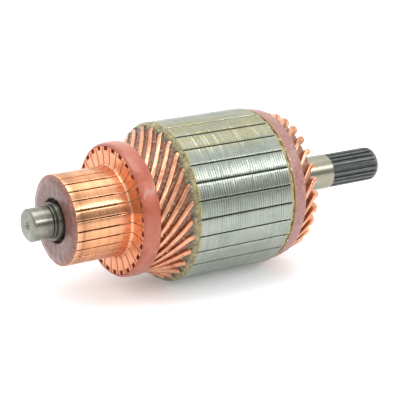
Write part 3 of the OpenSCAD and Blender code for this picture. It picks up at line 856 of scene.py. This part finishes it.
# ------------------------------------------------------------------ end insulation
def insulation(name, sgn, x0, node, seed, prof, amp, dip, reach):
    """Varnish-soaked plate and paper cuffs at one end of the core. prof: (distance from the core, radius)."""
    g1 = np.random.default_rng(seed)
    Vs, Fs = [], []
    n = N * 18
    t = np.arange(n) * 360 / n
    wv = waves(seed, 14, 0.9, 46)
    wv2 = waves(seed + 1, 16, 1.8, 110)
    wv3 = waves(seed + 2, 8, 0.3, 9)
    rows = []
    for i, (d, r) in enumerate(prof):
        x = x0 + sgn * d
        if sgn < 0:
            lead = SWEEP * sweep(BEND - x, BEND - END, 2.4, 1.2)
        else:
            lead = -(2 * PITCH - NOSEA / 2) * sweep(x - TURN, NOSEX - TURN, 1.5, 0.01)
        near = np.cos(np.radians((t - CLOCK - lead) * N))            # 1 on a bar, -1 between two
        a = amp if r > 24 and 0.02 < d < prof[-1][0] + 9 else 0
        rr = r + a * (0.5 * wv(d, t) + 0.5 * wv2(d, t) + 0.35 * wv3(d, t)) - dip * (r > 24) * (0.5 - 0.5 * near) * min(1, d / 1.5)
        dd = d + (a * 0.8 * (0.6 * wv(r, t) + 0.5 * wv2(r, t)) if d > 0.3 else 0)
        rows.append(polar(x0 + sgn * np.clip(dd, 0, reach), np.minimum(rr, 30.93), t))
    Vs.append(np.concatenate(rows))
    f = grid_faces(len(prof), n, wrap_m=True)
    Fs += f if sgn > 0 else [q[::-1] for q in f]
    for k in range(N):
        base = CLOCK + k * PITCH
        st = []
        ln = (1.9 if sgn < 0 else 1.3) + g1.uniform(-0.4, 0.5)
        for u in np.linspace(0, ln, 6):
            x = x0 + sgn * u
            if sgn < 0:
                a = base + 0.8 * SWEEP * sweep(BEND - x, BEND - END, 2.4, 1.2)
                r = front_r(x) - BH - GAP / 2
            else:
                a = base - 0.8 * (2 * PITCH - NOSEA / 2) * sweep(x - TURN, NOSEX - TURN, 1.5, 0.01)
                r = rear_r(x) - BH - GAP / 2
            st.append((x, r + g1.normal(0, 0.03), a + g1.normal(0, 0.15), 0, 1 + 0.12 * u / ln + g1.normal(0, 0.05), 1 + g1.normal(0, 0.006)))
        s_out = rounded(2.5, 7.3, 0.35, 3)
        s_out = s_out + g1.normal(0, 0.07, s_out.shape)
        v, f = sweep_path(st, s_out)
        m = len(s_out)
        v[-m:, 0] += sgn * g1.uniform(-0.6, 0.4, m)
        o = sum(len(a) for a in Vs)
        Vs.append(v)
        Fs += [tuple(i + o for i in q) for q in f]
    ob = new_mesh(name, np.concatenate(Vs), Fs, [INSUL], None, 60)
    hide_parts(node)
    return ob


insulation("front_insulation", -1, CX, "front_end_plate", 41,
           [(0.0, 9.0), (0.9, 9.0), (0.9, 20.0), (1.6, 24.0), (2.5, 25.2), (3.1, 26.2), (2.95, 27.3), (2.6, 28.2), (2.15, 28.9),
            (1.75, 29.5), (1.35, 29.95), (1.0, 30.25), (0.65, 30.45), (0.35, 30.6), (0.12, 30.7), (0.0, 30.75)], 0.26, 1.0, 3.7)
insulation("rear_insulation", 1, CX2, "rear_end_plate", 43,
           [(0.0, 9.0), (0.9, 9.0), (0.9, 20.0), (1.2, 24.0), (1.5, 27.0), (1.85, 29.0), (1.85, 29.9), (1.5, 30.22), (1.1, 30.32), (0.7, 30.38),
            (0.35, 30.48), (0.12, 30.6), (0.0, 30.65)], 0.14, 0.35, 1.95)


# varnish between the bars, in place of the smooth wraps
def fill(name, node, xs, rf, depth, amp, seed):
    n = 512
    t = np.arange(n) * 360 / n
    w1, w2 = waves(seed, 14, 1.0, 40), waves(seed + 1, 16, 2.0, 110)
    rows = []
    for x in xs:
        rows.append(polar(x + 0 * t, rf(x) - depth + amp * (0.6 * w1(x, t) + 0.5 * w2(x, t)), t))
    for x in xs[::-1]:
        rows.append(polar(x + 0 * t, rf(x) - BH - GAP + 0.1 + 0 * t, t))
    ob = new_mesh(name, np.concatenate(rows), grid_faces(len(rows), n, wrap_m=True), [FILL], None, 60)
    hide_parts(node)


fill("front_varnish", "front_layer_wrap", list(np.linspace(31.2, 46.2, 26)), front_r, 1.55, 0.26, 61)
fill("rear_varnish", "rear_layer_wrap", list(np.linspace(90.6, 103.4, 22)), rear_r, 2.3, 0.2, 63)

# drops of varnish that catch the light
g1 = np.random.default_rng(77)
Vs, Fs = [], []


def drop(c, a, b, h, t):
    """A low rounded drop on a surface facing outward at angle t."""
    n = 8
    tr = math.radians(t)
    out = np.array([0, math.cos(tr), math.sin(tr)])
    rnd = np.array([0, -math.sin(tr), math.cos(tr)])
    ax = np.array([1.0, 0, 0])
    o = len(Vs)
    ph = g1.uniform(0, 6)
    for lv, (s_, z) in enumerate(((1.0, -0.5), (0.95, 0.1), (0.6, 0.7))):
        for j in range(n):
            q = 2 * PI * j / n + ph
            w = s_ * (1 + g1.normal(0, 0.12))
            Vs.append(c + ax * a * w * math.cos(q) + rnd * b * w * math.sin(q) + out * h * z)
    Vs.append(c + out * h * 0.95)
    Vs.append(c - out * h * 0.6)
    for lv in range(2):
        for j in range(n):
            j2 = (j + 1) % n
            Fs.append((o + lv * n + j, o + lv * n + j2, o + (lv + 1) * n + j2, o + (lv + 1) * n + j))
    for j in range(n):
        j2 = (j + 1) % n
        Fs.append((o + 2 * n + j, o + 2 * n + j2, o + 3 * n))
        Fs.append((o + j2, o + j, o + 3 * n + 1))


for i in range(170):
    x = g1.uniform(35.2, 45.4)
    k = g1.integers(0, N)
    t = CLOCK + k * PITCH + SWEEP * sweep(BEND - x, BEND - END, 2.4, 1.2) + PITCH / 2 + g1.uniform(-2.6, 2.6)
    r = front_r(x) - g1.uniform(0.5, 1.4)
    drop(polar(x, r, np.array(t)), g1.uniform(0.12, 0.34), g1.uniform(0.12, 0.3), g1.uniform(0.12, 0.3), t)
for i in range(60):
    t = g1.uniform(0, 360)
    x = g1.uniform(45.6, 48.0)
    drop(polar(x, 30.45 - 0.35 * (48.1 - x), np.array(t)), g1.uniform(0.12, 0.35), g1.uniform(0.12, 0.35), g1.uniform(0.08, 0.2), t)
for i in range(46):
    t = g1.uniform(0, 360) if i > 9 else g1.uniform(133, 156)
    x = g1.uniform(90.2, 92.2)
    drop(polar(x, 30.25, np.array(t)), g1.uniform(0.15, 0.4), g1.uniform(0.2, 0.6), g1.uniform(0.1, 0.22), t)
new_mesh("varnish_drops", Vs, Fs, [GLINT], None, 60)

# ------------------------------------------------------------------ materials of the CAD nodes that stay
for node, m in (("slot_liners", LINER_PAINTED_SHADE), ("slot_separators", LINER_PAINTED_SHADE), ("front_shaft_sleeve", SLEEVE), ("rear_shaft_sleeve", SLEEVE),
                ("commutator_bush", BUSH),
                ("front_reinforcing_ring", GLASSF), ("rear_reinforcing_ring", GLASSF)):
    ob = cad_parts[node]
    if not ob.material_slots:
        ob.data.materials.append(m)
    for s in ob.material_slots:
        s.link = "OBJECT"
        s.material = m

# ------------------------------------------------------------------ floor, light, camera
FZ = -31.0 * MM
me = bpy.data.meshes.new("floor")
me.from_pydata([(-4, -4, FZ), (4, -4, FZ), (4, 4, FZ), (-4, 4, FZ)], [], [(0, 1, 2, 3)])
floor = bpy.data.objects.new("floor", me)
bpy.context.scene.collection.objects.link(floor)
fl = bpy.data.materials.new("pale_floor")
fl.use_nodes = True
p = fl.node_tree.nodes["Principled BSDF"]
p.inputs["Base Color"].default_value = (0.86, 0.86, 0.87, 1)
p.inputs["Roughness"].default_value = 0.38
p.inputs["Specular IOR Level"].default_value = 0.35
p.inputs["Emission Color"].default_value = (1, 1, 1, 1)
p.inputs["Emission Strength"].default_value = 0.22
me.materials.append(fl)

world = bpy.data.worlds.new("studio")
bpy.context.scene.world = world
world.use_nodes = True
nt = world.node_tree
bg = nt.nodes["Background"]
tc = nt.nodes.new("ShaderNodeTexCoord")
sp = nt.nodes.new("ShaderNodeSeparateXYZ")
nt.links.new(tc.outputs["Generated"], sp.inputs[0])


def world_ramp(src, stops):
    n = nt.nodes.new("ShaderNodeValToRGB")
    nt.links.new(src, n.inputs[0])
    e = n.color_ramp.elements
    while len(e) < len(stops):
        e.new(0.5)
    for i, (q, v) in enumerate(stops):
        e[i].position = q
        e[i].color = (v, v, v, 1)
    return n.outputs[0]


front_part = world_ramp(sp.outputs["Z"], [(0.0, 0.34), (0.30, 0.36), (0.42, 0.62), (0.52, 0.78), (0.75, 0.90), (1.0, 1.0)])
m1 = nt.nodes.new("ShaderNodeMath")
m1.operation = "MULTIPLY_ADD"
nt.links.new(sp.outputs["Y"], m1.inputs[0])
m1.inputs[1].default_value, m1.inputs[2].default_value = 0.5, 0.5
behind = world_ramp(m1.outputs[0], [(0.50, 0.0), (0.80, 1.0)])
mx = nt.nodes.new("ShaderNodeMix")
mx.data_type = "RGBA"
nt.links.new(behind, mx.inputs[0])
nt.links.new(front_part, mx.inputs[6])
mx.inputs[7].default_value = (1.0, 1.0, 1.0, 1)
nt.links.new(mx.outputs[2], bg.inputs[0])
bg.inputs[1].default_value = 1.25


def area(name, loc, target, sx, sy, power, col=(1, 1, 1)):
    d = bpy.data.lights.new(name, "AREA")
    d.shape = "RECTANGLE"
    d.size, d.size_y = sx, sy
    d.energy = power
    d.color = col
    o = bpy.data.objects.new(name, d)
    o.location = loc
    o.rotation_mode = "QUATERNION"
    o.rotation_quaternion = (Vector(target) - Vector(loc)).to_track_quat("-Z", "Y")
    bpy.context.scene.collection.objects.link(o)
    return o


c0 = (0.072, 0, 0)
area("key_strip", (0.072 + 0.62, -0.78, 0.66), c0, 1.7, 0.10, 5.5)
area("top_soft", (0.08, 0.05, 1.2), c0, 1.0, 0.7, 5.0)

F_PX, AZ, EL = 1554.83, math.radians(-32.7618), math.radians(16.8317)
TXR, TYR, DIST = -0.1617, -0.1048, 19.699
back = Vector((math.sin(AZ) * math.cos(EL), -math.cos(AZ) * math.cos(EL), math.sin(EL)))
right = (-back).cross(Vector((0, 0, 1))).normalized()
up = right.cross(-back)
pos = back * DIST + right * TXR + up * TYR
cam = bpy.data.cameras.new("camera")
cam.sensor_width = 36.0
cam.lens = F_PX / 400.0 * 36.0
cam.clip_start, cam.clip_end = 0.01, 50
co = bpy.data.objects.new("camera", cam)
co.location = (pos + Vector((2.37, 0, 0))) * 0.031
co.rotation_mode = "QUATERNION"
co.rotation_quaternion = Matrix((right, up, back)).transposed().to_quaternion()
bpy.context.scene.collection.objects.link(co)
bpy.context.scene.camera = co
bpy.context.scene.view_settings.view_transform = "Standard"
